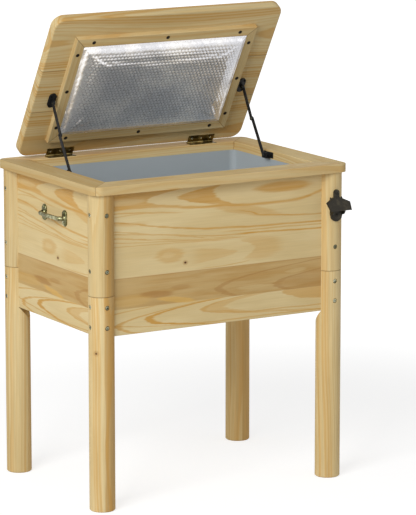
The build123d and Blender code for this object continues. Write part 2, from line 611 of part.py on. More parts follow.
stay_screw = pan_screw(SHOE_SCREW_RADIUS, SHOE_SCREW_HEAD, SHOE_SCREW_LENGTH)
shoe_places = []
channel_places = []
for side, sx in SIDES.items():
    upper = flat_link(sx, STAY_X, stay_top, stay_elbow, STAY_RIVET_RADIUS)
    save(upper, f"stay_upper_link_{side}")

    lower = flat_link(sx, LOWER_X, stay_foot, stay_elbow, STAY_RIVET_RADIUS + RUNNING)
    save(lower, f"stay_lower_link_{side}")

    # The rivets turn with the upper link: one in the shoe's ear, one at the elbow
    with BuildPart() as rivets:
        with BuildSketch(Plane(origin=(sx * (EAR_X - MOVING), stay_top.Y, stay_top.Z), z_dir=(sx, 0, 0))):
            Circle(STAY_RIVET_RADIUS - RUNNING)
        extrude(amount=STAY_X + STAY_BAR - EAR_X + MOVING)
        with BuildSketch(Plane(origin=(sx * (EAR_X - MOVING), stay_top.Y, stay_top.Z), z_dir=(-sx, 0, 0))):
            RegularPolygon(STAY_RIVET_HEAD_RADIUS, SCREW_HEAD_SIDES)
        extrude(amount=STAY_RIVET_HEAD)
        with BuildSketch(Plane(origin=(sx * STAY_X, stay_elbow.Y, stay_elbow.Z), z_dir=(sx, 0, 0))):
            Circle(STAY_RIVET_RADIUS - RUNNING)
        extrude(amount=STAY_BAR)
        with BuildSketch(Plane(origin=(sx * STAY_X, stay_elbow.Y, stay_elbow.Z), z_dir=(-sx, 0, 0))):
            RegularPolygon(STAY_RIVET_HEAD_RADIUS, SCREW_HEAD_SIDES)
        extrude(amount=STAY_RIVET_HEAD)
    save(rivets, f"stay_rivets_{side}")

    # Shoe on the lid: a plate with round ends and one ear for the rivet
    shoe_mid = sx * (EAR_X + STAY_BAR / 2 + SHOE_SHIFT)
    shoe_screw_x = shoe_mid + sx * SHOE_SCREW_OFFSET
    screw_steps = (-SHOE_SCREW_SPACING / 2, SHOE_SCREW_SPACING / 2)
    on_shoe = [spot(LID_PLANE, shoe_screw_x, STAY_LID_DISTANCE + step, SHOE_BODY) for step in screw_steps]
    ear = Plane(origin=(sx * EAR_X, stay_top.Y, stay_top.Z), x_dir=LID_PLANE.y_dir, z_dir=(sx, 0, 0))
    drop = STAY_LID_DROP * ear.y_dir.dot(LID_PLANE.z_dir)
    with BuildPart() as shoe:
        with BuildSketch(LID_PLANE):
            with Locations(Location((shoe_mid, STAY_LID_DISTANCE), 90)):
                SlotOverall(SHOE_LENGTH, SHOE_WIDTH)
        extrude(amount=SHOE_BODY)
        with BuildSketch(ear):
            Circle(STAY_BAR_WIDTH / 2 + EAR_MARGIN)
            with Locations((0, -drop / 2)):
                Rectangle(STAY_BAR_WIDTH + 2 * EAR_MARGIN, STAY_LID_DROP)
            Circle(STAY_RIVET_RADIUS, mode=Mode.SUBTRACT)
        extrude(amount=STAY_BAR)
        for place in on_shoe:
            with Locations(place):
                add(stay_screw, mode=Mode.SUBTRACT)
    save(shoe, f"stay_lid_shoe_{side}")
    shoe_places += on_shoe

    # Channel on the rim's inner face: a base plate, a web and an ear
    base = Plane(origin=(sx * MOUTH_X, stay_foot.Y, stay_foot.Z), x_dir=(0, 1, 0), z_dir=(-sx, 0, 0))
    on_channel = [spot(base, step, 0, SHOE_PLATE) for step in screw_steps]
    channel_reach = MOUTH_X - CHANNEL_X
    with BuildPart() as channel:
        with BuildSketch(Plane(origin=base.origin - (0, 0, CHANNEL_HEIGHT / 2))):
            with Locations((-sx * channel_reach / 2, 0)):
                Rectangle(channel_reach, CHANNEL_EAR)
        extrude(amount=SHOE_PLATE)
        with BuildSketch(base):
            Rectangle(SHOE_LENGTH, CHANNEL_HEIGHT)
        extrude(amount=SHOE_PLATE)
        with BuildSketch(base.offset(channel_reach - STAY_BAR)):
            Rectangle(CHANNEL_EAR, CHANNEL_HEIGHT)
            Circle(STAY_RIVET_RADIUS, mode=Mode.SUBTRACT)
        extrude(amount=STAY_BAR)
        for place in on_channel:
            with Locations(place):
                add(stay_screw, mode=Mode.SUBTRACT)
    save(channel, f"stay_rim_channel_{side}")
    channel_places += on_channel

screw_group("stay_lid_screws", stay_screw, shoe_places)
screw_group("stay_rim_screws", stay_screw, channel_places)

with BuildPart() as foot_rivets:
    for sx in SIDES.values():
        with BuildSketch(Plane(origin=(sx * LOWER_X, stay_foot.Y, stay_foot.Z), z_dir=(sx, 0, 0))):
            Circle(STAY_RIVET_RADIUS - RUNNING)
        extrude(amount=CHANNEL_X + STAY_BAR - LOWER_X)
        head_at = (sx * (CHANNEL_X + STAY_BAR), stay_foot.Y, stay_foot.Z)
        with BuildSketch(Plane(origin=head_at, z_dir=(sx, 0, 0))):
            RegularPolygon(STAY_RIVET_HEAD_RADIUS, SCREW_HEAD_SIDES)
        extrude(amount=STAY_RIVET_HEAD)
save(foot_rivets, "stay_rim_rivets")

# Pull handles with two oval feet, flared necks and a bowed bar
handle_screw = pan_screw(HANDLE_SCREW_RADIUS, HANDLE_SCREW_HEAD, HANDLE_SCREW_LENGTH)
handle_places = []
half = HANDLE_SPAN / 2
for side, sx in SIDES.items():
    base = Plane(origin=(sx * BOX_X, -HANDLE_FORWARD, RIM_UNDER - HANDLE_DROP), x_dir=(0, sx, 0), z_dir=(sx, 0, 0))
    bow = Plane(origin=base.origin, x_dir=base.x_dir, z_dir=-base.y_dir)
    on_feet = []
    for at in (-half, half):
        for step in (-HANDLE_SCREW_SPACING / 2, HANDLE_SCREW_SPACING / 2):
            on_feet.append(spot(base, at, step, HANDLE_FOOT))
    with BuildPart() as handle:
        with BuildSketch(base):
            with Locations(Location((-half, 0), 90), Location((half, 0), 90)):
                SlotOverall(HANDLE_FOOT_HEIGHT, HANDLE_FOOT_WIDTH)
        extrude(amount=HANDLE_FOOT)
        chamfer(handle.faces().sort_by(Axis(base.origin, base.z_dir))[-2:].edges(), HANDLE_FOOT_EDGE)
        with BuildLine(bow) as path:
            FilletPolyline(
                (-half, HANDLE_FOOT / 2),
                (-half, HANDLE_REACH),
                (0, HANDLE_REACH + HANDLE_BOW),
                (half, HANDLE_REACH),
                (half, HANDLE_FOOT / 2),
                radius=(HANDLE_BEND, HANDLE_SPAN, HANDLE_BEND),
            )
        with BuildSketch(Plane(origin=path.wire() @ 0, z_dir=path.wire() % 0)):
            Circle(HANDLE_BAR_RADIUS)
        sweep(path=path.wire())
        # Each neck flares out in a cone towards its foot
        neck = HANDLE_FOOT + HANDLE_FLARE
        inside = HANDLE_BAR_RADIUS - MOVING
        for at in (-half, half):
            with BuildSketch(spot(bow, at, 0)):
                with BuildLine():
                    Polyline(
                        (0, HANDLE_FOOT / 2),
                        (HANDLE_FLARE_RADIUS, HANDLE_FOOT / 2),
                        (HANDLE_FLARE_RADIUS, HANDLE_FOOT),
                        (inside, neck),
                        (0, neck),
                        close=True,
                    )
                make_face()
            revolve(axis=Axis(bow.from_local_coords((at, 0, 0)), base.z_dir))
        for place in on_feet:
            with Locations(place):
                add(handle_screw, mode=Mode.SUBTRACT)
    save(handle, f"handle_{side}")
    handle_places += on_feet
screw_group("handle_screws", handle_screw, handle_places)

# Bottle opener: a screw tab, a sloping hood over the mouth, two ribs under it and a disc at the bottom
opener_x, opener_y = CORNERS[OPENER_CORNER]
opener_origin = (opener_x * LEG_X, opener_y * (LEG_Y + LEG_RADIUS + SEAT), RIM_UNDER - OPENER_DROP)
opener_base = Plane(origin=opener_origin, x_dir=(1, 0, 0), z_dir=(0, -1, 0))
opener_side = Plane(origin=opener_origin, x_dir=(0, -1, 0), z_dir=(-1, 0, 0))
disc_mid = OPENER_DISC_RADIUS - OPENER_HEIGHT
hood_slope = (OPENER_HOOD_FOOT - OPENER_HOOD_TOP) / (OPENER_HOOD_REACH - OPENER_PLATE)
hood_inside = OPENER_HOOD_REACH - OPENER_HOOD_WALL
rib_arc = -disc_mid - OPENER_HOOD_FOOT
opener_screw = pan_screw(OPENER_SCREW_RADIUS, OPENER_SCREW_HEAD, OPENER_SCREW_LENGTH)
opener_places = [
    spot(opener_base, 0, -OPENER_TAB_WIDTH / 2, OPENER_PLATE),
    spot(opener_base, 0, disc_mid, OPENER_PLATE + OPENER_DISC_RISE),
]

with BuildPart() as hood:
    with BuildSketch(opener_side):
        with BuildLine():
            Polyline(
                (0, -OPENER_HOOD_TOP),
                (OPENER_PLATE, -OPENER_HOOD_TOP),
                (OPENER_HOOD_REACH, -OPENER_HOOD_FOOT),
                (hood_inside, -OPENER_HOOD_FOOT),
                (0, hood_inside * hood_slope - OPENER_HOOD_FOOT),
                close=True,
            )
        make_face()
    extrude(amount=OPENER_HOOD_WIDTH / 2, both=True)
    with BuildSketch(opener_base):
        with BuildLine():
            Polyline(
                (-OPENER_TAB_WIDTH / 2, -OPENER_HOOD_TOP),
                (OPENER_TAB_WIDTH / 2, -OPENER_HOOD_TOP),
                (OPENER_HOOD_WIDTH / 2, -OPENER_HOOD_SHOULDER),
                (OPENER_HOOD_FOOT_WIDTH / 2, -OPENER_HOOD_FOOT),
                (-OPENER_HOOD_FOOT_WIDTH / 2, -OPENER_HOOD_FOOT),
                (-OPENER_HOOD_WIDTH / 2, -OPENER_HOOD_SHOULDER),
                close=True,
            )
        make_face()
    extrude(amount=OPENER_HOOD_REACH, mode=Mode.INTERSECT)

with BuildPart() as opener:
    add(hood.part)
    with BuildSketch(opener_base):
        with Locations((0, -OPENER_TAB_WIDTH / 2)):
            Circle(OPENER_TAB_WIDTH / 2)
        with Locations((0, -(OPENER_TAB_WIDTH / 2 + OPENER_HOOD_SHOULDER) / 2)):
            Rectangle(OPENER_TAB_WIDTH, OPENER_HOOD_SHOULDER - OPENER_TAB_WIDTH / 2)
        with Locations((0, disc_mid)):
            Circle(OPENER_DISC_RADIUS)
    extrude(amount=OPENER_PLATE)
    with BuildSketch(opener_base.offset(OPENER_PLATE)):
        with Locations((0, disc_mid)):
            Circle(OPENER_DISC_FACE)
    extrude(amount=OPENER_DISC_RISE)
    for rib_start in (-OPENER_MOUTH / 2 - OPENER_RIB, OPENER_MOUTH / 2):
        with BuildSketch(opener_side.offset(rib_start)):
            with BuildLine():
                Polyline(
                    (OPENER_PLATE, disc_mid),
                    (0, disc_mid),
                    (0, -OPENER_HOOD_TOP),
                    ((OPENER_HOOD_REACH + hood_inside) / 2, -OPENER_HOOD_FOOT),
                    (OPENER_PLATE + rib_arc, -OPENER_HOOD_FOOT),
                )
                RadiusArc((OPENER_PLATE + rib_arc, -OPENER_HOOD_FOOT), (OPENER_PLATE, disc_mid), rib_arc)
            make_face()
        extrude(amount=OPENER_RIB)
    for place in opener_places:
        with Locations(place):
            add(opener_screw, mode=Mode.SUBTRACT)
save(opener, "bottle_opener")
screw_group("opener_screws", opener_screw, opener_places)
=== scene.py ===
import math

import bmesh
import bpy
import numpy as np
from mathutils import Matrix, Vector


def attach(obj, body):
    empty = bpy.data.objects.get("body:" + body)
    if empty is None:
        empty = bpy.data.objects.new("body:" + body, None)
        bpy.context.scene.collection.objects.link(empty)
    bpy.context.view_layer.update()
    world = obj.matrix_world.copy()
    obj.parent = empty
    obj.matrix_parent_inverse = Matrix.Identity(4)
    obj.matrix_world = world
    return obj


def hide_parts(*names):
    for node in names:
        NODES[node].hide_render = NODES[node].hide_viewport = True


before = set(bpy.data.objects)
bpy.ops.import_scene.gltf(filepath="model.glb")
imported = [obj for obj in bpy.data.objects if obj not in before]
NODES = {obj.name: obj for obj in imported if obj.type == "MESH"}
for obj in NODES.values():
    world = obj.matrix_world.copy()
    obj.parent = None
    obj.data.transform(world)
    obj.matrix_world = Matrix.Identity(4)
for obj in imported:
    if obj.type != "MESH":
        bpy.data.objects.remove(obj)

for name in ("Cube", "Light", "Camera"):
    if name in bpy.data.objects:
        bpy.data.objects.remove(bpy.data.objects[name])
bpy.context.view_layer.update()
X, Y, Z = Vector((1, 0, 0)), Vector((0, 1, 0)), Vector((0, 0, 1))

# The lid stands open about the hinge line: its length runs away from the hinge, its face looks into the tub
OPEN = math.radians(59.2)
LID_ORIGIN = Vector((0, 0.2145, 0.8032))
LID_LONG = Vector((0, -math.cos(OPEN), math.sin(OPEN)))
LID_FACE = Vector((0, -math.sin(OPEN), -math.cos(OPEN)))

# Places that the wood's grain and joints follow, in metres from the box's middle and from the floor
CORNERS = {"front_left": (-1, -1), "front_right": (1, -1), "back_left": (-1, 1), "back_right": (1, 1)}
RIM_HALF_X, RIM_HALF_Y = 0.360, 0.256
RIM_BOARD_X, RIM_BOARD_Y, RIM_BOARD_Z = 0.327, 0.223, 0.79
LEG_X, LEG_Y = 0.3235, 0.2195
LEG_JOINT = 0.531
LOWER_JOINT, UPPER_JOINT = 0.493, 0.568
LID_START = 0.015
LID_STAVE = 0.128
LID_STAVES = 3
FLOOR_STAVE = 0.16


# Node materials, written as sums


def rgb(red, green, blue):
    """Turns a colour as it is seen, 0 to 255, into the linear numbers that a shader takes."""
    parts = [v / 255 for v in (red, green, blue)]
    return tuple(v / 12.92 if v < 0.04045 else ((v + 0.055) / 1.055) ** 2.4 for v in parts) + (1.0,)


class Field:
    """A number or colour that a material works out at each point. Arithmetic on it adds math nodes."""

    def __init__(self, paint, socket):
        self.paint = paint
        self.socket = socket

    def __add__(self, other):
        return self.paint.math("ADD", self, other)

    def __sub__(self, other):
        return self.paint.math("SUBTRACT", self, other)

    def __mul__(self, other):
        return self.paint.math("MULTIPLY", self, other)

    def __truediv__(self, other):
        return self.paint.math("DIVIDE", self, other)

    __radd__ = __add__
    __rmul__ = __mul__

    def __rsub__(self, other):
        return self.paint.math("SUBTRACT", other, self)


class Paint:
    """A material and the calls that fill its node tree."""

    MIX_A, MIX_B, MIX_OUT = 6, 7, 2  # the colour sockets of a mix node

    def __init__(self, name):
        self.material = bpy.data.materials.new(name)
        self.material.use_nodes = True
        self.tree = self.material.node_tree
        self.tree.nodes.clear()
        self.place = self.node("ShaderNodeTexCoord", "Object")

    def node(self, kind, out, inputs=(), **settings):
        made = self.tree.nodes.new(kind)
        for key, value in settings.items():
            setattr(made, key, value)
        for key, value in dict(inputs).items():
            self.put(made.inputs[key], value)
        return Field(self, made.outputs[out])

    def put(self, socket, value):
        if isinstance(value, Field):
            self.tree.links.new(value.socket, socket)
        else:
            socket.default_value = value

    def math(self, work, a, b=0.0, clamp=False):
        return self.node("ShaderNodeMath", 0, {0: a, 1: b}, operation=work, use_clamp=clamp)

    def floor(self, a):
        return self.math("FLOOR", a)

    def root(self, a):
        return self.math("SQRT", a)

    def fract(self, a):
        return self.math("FRACT", a)

    def measure(self, work, other=(0, 0, 0)):
        """A number worked out from the point's place and another vector."""
        inputs = {0: self.place, 1: tuple(other)}
        return self.node("ShaderNodeVectorMath", "Value", inputs, operation=work)

    def along(self, direction, origin=(0, 0, 0)):
        """The distance of a point from the origin along a direction, in metres."""
        return self.measure("DOT_PRODUCT", direction) - Vector(direction).dot(Vector(origin))

    def vector(self, x, y, z):
        return self.node("ShaderNodeCombineXYZ", 0, {"X": x, "Y": y, "Z": z})

    def chance(self, vector):
        """Three random numbers that hold for one whole stave."""
        made = self.tree.nodes.new("ShaderNodeSeparateXYZ")
        self.put(made.inputs[0], self.node("ShaderNodeTexWhiteNoise", 1, {"Vector": vector}))
        return [Field(self, out) for out in made.outputs]

    def noise(self, vector, scale=1.0, detail=2.0, rough=0.5, warp=0.0):
        inputs = {"Vector": vector, "Scale": scale, "Detail": detail, "Roughness": rough, "Distortion": warp}
        return self.node("ShaderNodeTexNoise", 0, inputs)

    def grain(self, u, v, w, detail=2.0, rough=0.5):
        """Noise over three lengths that are each stretched already."""
        return self.noise(self.vector(u, v, w), 1.0, detail, rough)

    def ramp(self, value, low, high, start=0.0, end=1.0, kind="LINEAR"):
        inputs = {"Value": value, "From Min": low, "From Max": high, "To Min": start, "To Max": end}
        return self.node("ShaderNodeMapRange", 0, inputs, interpolation_type=kind)

    def smooth(self, value, low, high, start=0.0, end=1.0):
        return self.ramp(value, low, high, start, end, "SMOOTHSTEP")

    def mix(self, factor, a, b, blend="MIX"):
        made = self.tree.nodes.new("ShaderNodeMix")
        made.data_type = "RGBA"
        made.blend_type = blend
        self.put(made.inputs[0], factor)
        self.put(made.inputs[self.MIX_A], a)
        self.put(made.inputs[self.MIX_B], b)
        return Field(self, made.outputs[self.MIX_OUT])

    def mix_value(self, factor, a, b):
        """The number a where factor is 0, b where it is 1."""
        return a + factor * (b - a)

    def shade(self, colour, value):
        """The colour times a number."""
        grey = self.node("ShaderNodeCombineColor", 0, {0: value, 1: value, 2: value})
        return self.mix(1.0, colour, grey, "MULTIPLY")

    def bump(self, height, depth, strength):
        inputs = {"Height": height, "Distance": depth, "Strength": strength}
        return self.node("ShaderNodeBump", 0, inputs)

    def finish(self, **inputs):
        shader = self.tree.nodes.new("ShaderNodeBsdfPrincipled")
        for key, value in inputs.items():
            self.put(shader.inputs[key.replace("_", " ")], value)
        out = self.tree.nodes.new("ShaderNodeOutputMaterial")
        self.tree.links.new(shader.outputs[0], out.inputs[0])
        return self.material


# Pine: pale early wood, amber late wood, fine fibres, varnish
PALE = rgb(214, 190, 138)
CREAM = rgb(222, 201, 152)
AMBER = rgb(200, 150, 70)
BROWN = rgb(188, 150, 90)
RUST = rgb(168, 122, 66)
GOLD = rgb(222, 178, 96)
KNOT = rgb(86, 58, 34)
SEAM = rgb(128, 96, 56)
# The dark of the painted shade in screw holes
HOLE_SHADE = rgb(30, 22, 16)
GLOSS = 0.16
VARNISH_ROUGH = 0.56
GRAIN_DEPTH, GRAIN_STRENGTH = 0.0004, 0.35

# Noise: detail and roughness of the finest, and the two levels between which clouds change their tint
FINE = (3.0, 0.6)
CLOUDS = (0.35, 0.7)
FIBRE_LONG, FIBRE_FINE = 9.0, 520.0

# The pith under a stave and the rings round it, in metres
PLAIN_WIDTH = 0.06
PITH_DEPTH, PITH_SPREAD = 0.028, 0.03
PITH_SWAY, PITH_SINK = 0.06, 0.07
RING_WOBBLE, RING_RAGGED = 0.0045, 0.004

# Marks in the wood: how far from its middle each one starts to show and is full
SEAM_EDGE = (0.0012, 0.0004)
# HOLE_EDGE: the ring of painted shade round a screw
HOLE_EDGE = (0.0056, 0.0046)
KNOT_EDGE = (0.0036, 0.0018)
HALO_EDGE = (0.010, 0.004)
HEART_EDGE = 0.0015
STAVE_TONE = 0.2
STREAK_TONE = 0.14


def fibres(p, u, v, w):
    """Fine streaks along the grain, from 0 to 1."""
    return p.grain(u * FIBRE_LONG, v * FIBRE_FINE, w * FIBRE_FINE, *FINE)


def year_rings(p, count):
    """Late wood, from 0 to 1, at the ring number count: uneven bands, each with one sharp edge."""
    broad = p.grain(count, 0.3, 0.0, 2.0, 0.55)
    thin = p.fract(count * 1.9 + broad * 2.0)
    line = p.smooth(thin, 0.3, 0.9) * p.smooth(thin, 1.0, 0.94)
    band = p.smooth(broad, 0.42, 0.68)
    force = p.smooth(p.grain(count * 0.7, 4.0, 0.0, 1.0), 0.3, 0.7, 0.15, 0.75)
    return p.math("ADD", band * 0.65, line * force, True)


def varnish(p, colour, streak, late, gloss=GLOSS):
    """Ends a pine material: thin satin varnish over the grain."""
    return p.finish(
        Base_Color=colour,
        Roughness=VARNISH_ROUGH - 0.10 * late + 0.10 * streak,
        Normal=p.bump(streak * 0.6 + late * 0.5, GRAIN_DEPTH, GRAIN_STRENGTH),
        Specular_IOR_Level=gloss,
    )


def pine(
    name,
    long,
    across,
    origin=(0, 0, 0),
    stave=None,
    staves=0,
    seed=0.0,
    ring=0.012,
    late_share=0.8,
    drift=1.0,
    shade=1.0,
    seams=(),
    heart=None,
    hole_shades=(),
    knots=(),
    fleck=0.12,
    gloss=GLOSS,
):
    """Sawn pine whose year rings bend round a pith under each stave: the face shows arches and stripes."""
    p = Paint(name)
    long = Vector(long)
    across = Vector(across)
    u = p.along(long, origin)
    v = p.along(across, origin)
    w = p.along(long.cross(across), origin)
    if stave:
        index = p.floor(v / stave)
        if staves:
            index = p.math("MAXIMUM", p.math("MINIMUM", index, staves - 1.0), 0.0)
        middle = v - (index + 0.5) * stave
    else:
        index = v * 0.0
        middle = v
    one, two, three = p.chance(p.vector(index + 0.5, seed, 0.5))

    # Each stave has its own place in the log
    far = u + three * 7.0 + seed * 1.7
    sway = p.grain(far * 1.3, index * 3.0 + seed, 0.0, 1.0) - 0.5
    sink = p.grain(far * 1.7, index * 3.0 + seed, 5.0, 1.0) - 0.5
    side = middle + (one - 0.5) * (stave or PLAIN_WIDTH) * 1.1 + sway * PITH_SWAY * drift
    deep = w + PITH_DEPTH + two * PITH_SPREAD + sink * PITH_SINK * drift
    ragged = p.grain(far * 6.0, v * 150.0, w * 150.0, *FINE) - 0.5
    wobble = p.grain(far * 5.0, v * 26.0, w * 26.0) - 0.5
    radius = p.root(side * side + deep * deep) + wobble * RING_WOBBLE + ragged * RING_RAGGED
    late = year_rings(p, radius / ring + seed) * late_share
    streak = fibres(p, u, v, w)
    cloud = p.grain(far * 3.0, v * 16.0, w * 16.0, 3.0)
    colour = p.mix(p.smooth(cloud, *CLOUDS), PALE, CREAM)
    if heart:
        direction, start = heart
        reach = p.along(direction, origin) + ragged * 0.010 + wobble * 0.006
        share = p.smooth(reach, start - HEART_EDGE, start + HEART_EDGE, 0.0, 0.75)
        colour = p.mix(share, colour, BROWN)
    colour = p.mix(late, colour, AMBER)
    for direction, distance, strength in seams:
        gap = p.math("ABSOLUTE", p.along(Vector(direction).normalized()) - distance)
        colour = p.mix(p.smooth(gap, *SEAM_EDGE, 0.0, strength), colour, SEAM)
    for knot in knots:
        reach = p.measure("DISTANCE", knot) + wobble * 0.002
        colour = p.mix(p.smooth(reach, *HALO_EDGE, 0.0, 0.45), colour, RUST)
        colour = p.mix(p.smooth(reach, *KNOT_EDGE, 0.0, 0.85), colour, KNOT)
    # Painted shade: a dark ring round each screw, as in the shade of its hole
    for hole_shade in hole_shades:
        colour = p.mix(p.smooth(p.measure("DISTANCE", hole_shade), *HOLE_EDGE), colour, HOLE_SHADE)
    # shade scales the whole piece: below 1 it is painted shade, above 1 it is painted light, for how the
    # lamps fall on it
    light = shade + (two - 0.5) * STAVE_TONE + (streak - 0.5) * STREAK_TONE + ragged * fleck
    return varnish(p, p.shade(colour, light), streak, late, gloss)


# The panels' boards share one figure, in millimetres along the board and above the floor:
# a wide board with nested arches over fine lines, a brown stave and a pale stave with arches
MILLIMETRES = 1000.0
FIGURE_END = 400.0
FIGURE_LOW = 400.0
FIGURE_RISE = 400.0
BROAD_LINE = (
    (-320, 735),
    (-240, 739),
    (-180, 735),
    (-120, 729),
    (-50, 723),
    (15, 722),
    (60, 719),
    (118, 717),
    (195, 717),
    (240, 721),
    (280, 731),
    (320, 742),
)
LONG_LINE = (
    (-320, 705),
    (-255, 702),
    (-210, 693),
    (-120, 679),
    (-30, 669),
    (60, 664),
    (150, 661),
    (320, 657),
)
FINE_LINES = (  # strength, half width, first and last point along, course
    (0.50, 1.8, -400, -95, ((-320, 729), (-210, 724), (-150, 717), (-110, 715))),
    (0.34, 1.4, -400, -140, ((-320, 716), (-230, 722), (-150, 720))),
    (0.62, 2.3, -400, 400, LONG_LINE),
    (0.34, 5.0, -400, -190, ((-320, 703), (-235, 698))),
    (0.62, 1.9, 55, 400, ((60, 706), (82, 700), (132, 688), (195, 681), (320, 676))),
    (0.44, 1.3, -400, 60, ((-320, 686), (-190, 669), (-100, 656), (-30, 645), (40, 642))),
    (0.50, 1.4, -400, 150, ((-320, 678), (-150, 664), (-60, 653), (0, 648), (150, 647))),
    (0.50, 1.4, -400, 100, ((-320, 669), (-165, 653), (-30, 641), (100, 639))),
    (0.40, 1.2, -400, 0, ((-320, 658), (-165, 648), (-40, 640))),
    (0.40, 1.2, -400, 40, ((-320, 647), (-150, 642), (20, 636))),
    (0.46, 1.6, 10, 400, ((0, 657), (120, 654), (320, 650))),
    (0.72, 2.0, 40, 400, ((40, 648), (130, 646), (200, 643), (320, 640))),
    (0.40, 1.3, -60, 110, ((-60, 572), (60, 575), (80, 578), (110, 586))),
    (0.50, 1.4, -20, 400, ((-20, 464), (42, 454), (105, 450), (320, 447))),
    (0.50, 1.4, -180, 400, ((-180, 452), (-75, 438), (105, 436), (320, 435))),
)
ARCHES = (  # colour, strength, tip along, tip height, curve, start and end of the band behind the tip
    (AMBER, 0.90, -196, 461, 5.0, -14, 8),
    (AMBER, 0.70, -282, 450, 7.0, -9, 7),
    (AMBER, 0.60, -345, 468, 4.0, -12, 10),
    (AMBER, 0.38, -48, 470, 4.0, -4, 60),
    (AMBER, 0.45, -48, 470, 4.0, -5, 9),
    (AMBER, 0.56, 184, 488, 6.0, -3, 400),
    (RUST, 0.42, -7, 515, 8.0, -8, 14),
    (RUST, 0.24, 159, 510, 6.0, -6, 400),
    (RUST, 0.30, 159, 510, 6.0, -8, 12),
)
SPOTS = (  # colour, strength, middle along, middle height, half length, half height, slope
    (RUST, 0.56, -178, 520, 46, 9, -0.06),
    (RUST, 0.30, -110, 531, 30, 7, 0.0),
    (GOLD, 0.60, -120, 501, 56, 7, -0.16),
    (GOLD, 0.22, -255, 512, 70, 14, 0.0),
    (PALE, 0.45, 100, 511, 50, 5, 0.0),
    (PALE, 0.40, 220, 540, 34, 5, 0.06),
    (AMBER, 0.40, 72, 706, 100, 13, -0.19),
)
CROWN_LEVEL = 0.78
CROWN_ARCHES = (  # level behind the tip, tip along, tip height, curve
    (0.05, -203, 751, 5.5),
    (0.82, -115, 751, 5.0),
    (0.04, -16, 756, 18.0),
)
CROWN_PALE = (-262, 753, 60, 8)
CROWN_DARK = (184, 754, 84, 14)
LOBE = (100, 608, 84, 32)
LOBE_MOUTH = (100, 607, 15.0)
LOBE_TAIL = (46, 603, 3.0)
OVAL = (-142, 612, 42, 20)
OVAL_EYE = (-146, 613, 20, 8)

# In metres: the panel's knot, the marks' edges and the blur where two staves meet
PANEL_KNOT = (-0.0966, 0.5906)
PANEL_HALO_EDGE = (0.008, 0.003)
PANEL_KNOT_EDGE = (0.0034, 0.0018)
PANEL_JOINT_EDGE = (0.0016, 0.0004)
STAVE_BLUR = 0.0005


